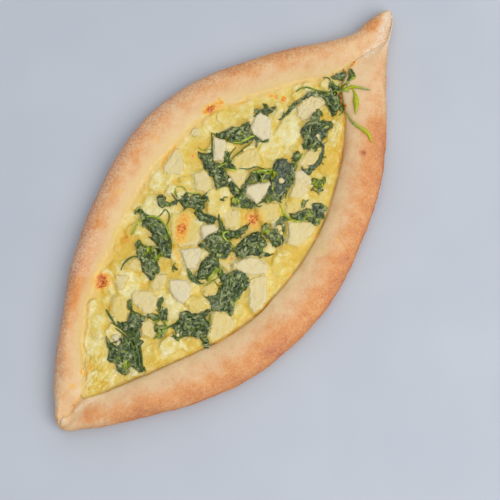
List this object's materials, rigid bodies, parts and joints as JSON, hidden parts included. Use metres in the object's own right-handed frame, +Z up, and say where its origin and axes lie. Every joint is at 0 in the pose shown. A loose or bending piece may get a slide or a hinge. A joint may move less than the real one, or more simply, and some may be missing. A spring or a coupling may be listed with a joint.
{
  "type": "filled flatbread",
  "caption": "Long open flatbread with raised rims pinched to a point at each end, filled with melted cheese, sunken feta chunks and wilted spinach.",
  "frame": {"origin": "middle of the bread's box in plan, on the surface that it rests on", "axes": "+X along the bread from tip to tip, +Y across it towards the rim that slopes softly to the filling, +Z up, out of the filling"},
  "size_m": [0.366, 0.1798, 0.024],
  "materials": {
    "crust": "baked dough, matte, floured in places, browned towards the outside",
    "cheese": "melted yellow cheese, oily and lumpy",
    "feta": "pale crumbly curd, matte",
    "spinach": "wilted leaf, dark green, moist"
  },
  "bodies": {
    "root": {"dough": "crust", "filling": "cheese", "feta_01": "feta", "feta_02": "feta", "feta_03": "feta", "feta_04": "feta", "feta_05": "feta", "feta_06": "feta", "feta_07": "feta", "feta_08": "feta", "feta_09": "feta", "feta_10": "feta", "feta_11": "feta", "feta_12": "feta", "feta_13": "feta", "feta_14": "feta", "feta_15": "feta", "feta_16": "feta", "feta_17": "feta", "feta_18": "feta", "feta_19": "feta", "feta_20": "feta", "feta_21": "feta", "feta_22": "feta", "feta_23": "feta", "feta_24": "feta", "feta_25": "feta", "feta_26": "feta", "feta_27": "feta", "feta_28": "feta", "feta_29": "feta", "feta_30": "feta", "feta_31": "feta", "feta_32": "feta", "feta_33": "feta", "spinach_bright_scrap": "spinach", "spinach_central": "spinach", "spinach_column": "spinach", "spinach_crescent": "spinach", "spinach_far_leaf": "spinach", "spinach_far_scrap": "spinach", "spinach_flecked_leaf": "spinach", "spinach_forked_shred": "spinach", "spinach_left_bunch": "spinach", "spinach_left_scrap": "spinach", "spinach_long_band": "spinach", "spinach_long_shred": "spinach", "spinach_near_clump": "spinach", "spinach_near_crescent": "spinach", "spinach_near_left": "spinach", "spinach_pale_scrap": "spinach", "spinach_pointed_leaf": "spinach", "spinach_right_bunch": "spinach", "spinach_ring_leaf": "spinach", "spinach_small_fold": "spinach", "spinach_speck_left": "spinach", "spinach_speck_middle": "spinach", "spinach_split_leaf": "spinach", "spinach_sprig": "spinach", "spinach_upper_middle": "spinach"}
  },
  "joints": []
}
